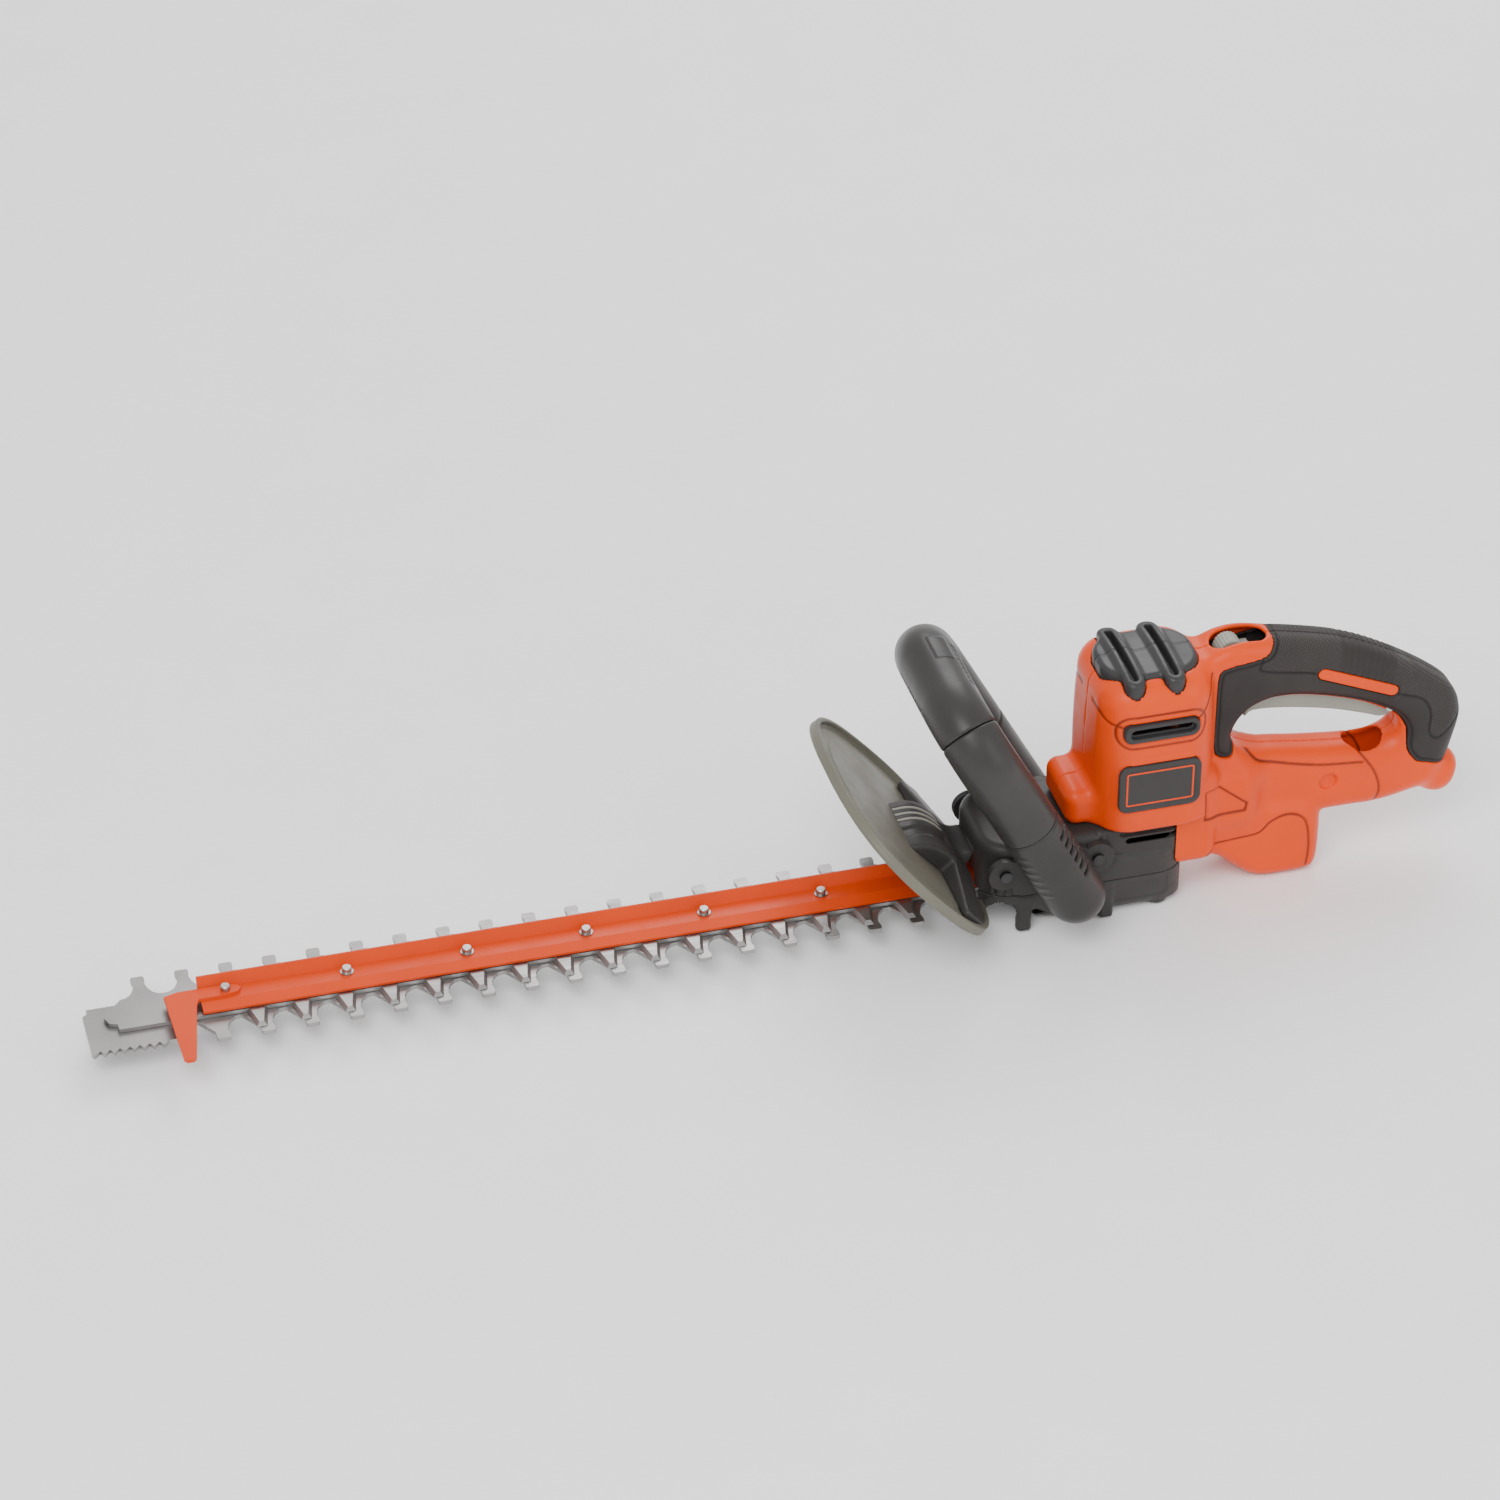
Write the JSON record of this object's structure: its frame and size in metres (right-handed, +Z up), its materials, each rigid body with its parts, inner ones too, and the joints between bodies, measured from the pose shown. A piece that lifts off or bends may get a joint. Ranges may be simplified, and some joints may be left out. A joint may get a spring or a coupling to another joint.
{
  "type": "hedge trimmer",
  "caption": "Corded hedge trimmer with a long double-action blade, saw tip, leaning guard, front bail handle and rear D-handle.",
  "frame": {"origin": "on the flat base of the gearcase, at the middle of the resting face, near the gear axis", "axes": "-X along the blade to its tip, +Y to the user's right, +Z up"},
  "size_m": [0.8214, 0.1641, 0.1784],
  "materials": {
    "orange_shell": "moulded orange plastic, satin",
    "dark_shell": "moulded charcoal plastic, fine grain",
    "grip_rubber": "soft charcoal overmould with a woven grain",
    "guard_plastic": "warm grey moulded plastic",
    "light_grey": "light grey moulded plastic",
    "blade_steel": "ground and laser-cut tool steel",
    "bar_paint": "orange powder coat",
    "plated_steel": "zinc plated steel",
    "black_plate": "dark blank plate",
    "gear_steel": "sintered steel",
    "bearing_steel": "ground bearing steel",
    "copper": "enamelled copper wire and copper bars",
    "iron": "stacked iron sheets",
    "bronze": "oiled bronze",
    "inner_plastic": "black switch plastic",
    "carbon": "carbon brush"
  },
  "bodies": {
    "chassis": {"badge_left": "black_plate", "badge_right": "black_plate", "bail_foot_left": "dark_shell", "bail_foot_right": "dark_shell", "bail_joint_rings": "dark_shell", "bail_plate_left": "dark_shell", "bail_plate_right": "dark_shell", "bail_screws": "plated_steel", "bail_sleeve_left": "dark_shell", "bail_sleeve_right": "dark_shell", "bail_top": "dark_shell", "bar_rivets": "plated_steel", "blade_bar": "bar_paint", "blade_bolts": "plated_steel", "blade_nuts": "plated_steel", "blade_sleeves": "plated_steel", "blade_slide_washers": "plated_steel", "bolt_washers": "plated_steel", "brush_holder": "inner_plastic", "carbon_brushes": "carbon", "gear_bushing": "bronze", "gearcase_lower_cover": "dark_shell", "gearcase_screws": "plated_steel", "gearcase_upper_cover": "dark_shell", "grip_left": "grip_rubber", "grip_right": "grip_rubber", "grip_strip_left": "orange_shell", "grip_strip_right": "orange_shell", "guard": "guard_plastic", "guard_mount": "dark_shell", "guard_mount_ridges": "light_grey", "housing_left": "orange_shell", "housing_right": "orange_shell", "housing_screws": "plated_steel", "inlet_block": "inner_plastic", "inlet_contacts": "bronze", "lower_bearing": "bearing_steel", "motor_field_coils": "copper", "motor_field_stack": "iron", "power_switch": "inner_plastic", "side_vent_left": "dark_shell", "side_vent_right": "dark_shell", "tip_stop": "bar_paint", "top_vent_cap": "dark_shell", "trigger_pin": "plated_steel", "trigger_spring": "plated_steel", "upper_bearing": "bearing_steel"},
    "armature": {"armature_core": "iron", "armature_windings": "copper", "commutator": "copper", "motor_shaft": "gear_steel", "pinion": "gear_steel", "cooling_fan": "inner_plastic"},
    "gear": {"drive_gear": "gear_steel", "gear_spindle": "gear_steel", "crank_disc": "gear_steel"},
    "upper_blade": {"upper_blade": "blade_steel"},
    "lower_blade": {"lower_blade": "blade_steel"},
    "trigger": {"trigger": "light_grey"},
    "lock_off": {"lock_off_slider": "light_grey"}
  },
  "joints": [
    {"name": "armature_spin", "type": "hinge", "parent": "chassis", "child": "armature", "pos_m": [0.042, 0, 0.1], "axis": [0, 0, 1], "continuous": true},
    {"name": "gear_spin", "type": "hinge", "parent": "chassis", "child": "gear", "pos_m": [0.01, 0, 0.04], "axis": [0, 0, 1], "continuous": true},
    {"name": "upper_blade_slide", "type": "slide", "parent": "chassis", "child": "upper_blade", "axis": [1, 0, 0], "range_m": [-0.005, 0.005]},
    {"name": "lower_blade_slide", "type": "slide", "parent": "chassis", "child": "lower_blade", "axis": [1, 0, 0], "range_m": [-0.005, 0.005]},
    {"name": "trigger_pull", "type": "hinge", "parent": "chassis", "child": "trigger", "pos_m": [0.193, 0, 0.1035], "axis": [0, 1, 0], "range_deg": [0, 5], "stiffness_Nm_per_rad": 2, "springref_deg": -17.19},
    {"name": "lock_off_slide", "type": "slide", "parent": "chassis", "child": "lock_off", "axis": [1, 0, 0], "range_m": [0, 0.006], "stiffness_N_per_m": 150, "springref_m": -0.006}
  ],
  "couplings": [
    {"joint": "gear_spin", "follows": "armature_spin", "ratio": -0.23077},
    {"joint": "lower_blade_slide", "follows": "upper_blade_slide", "ratio": -1}
  ]
}
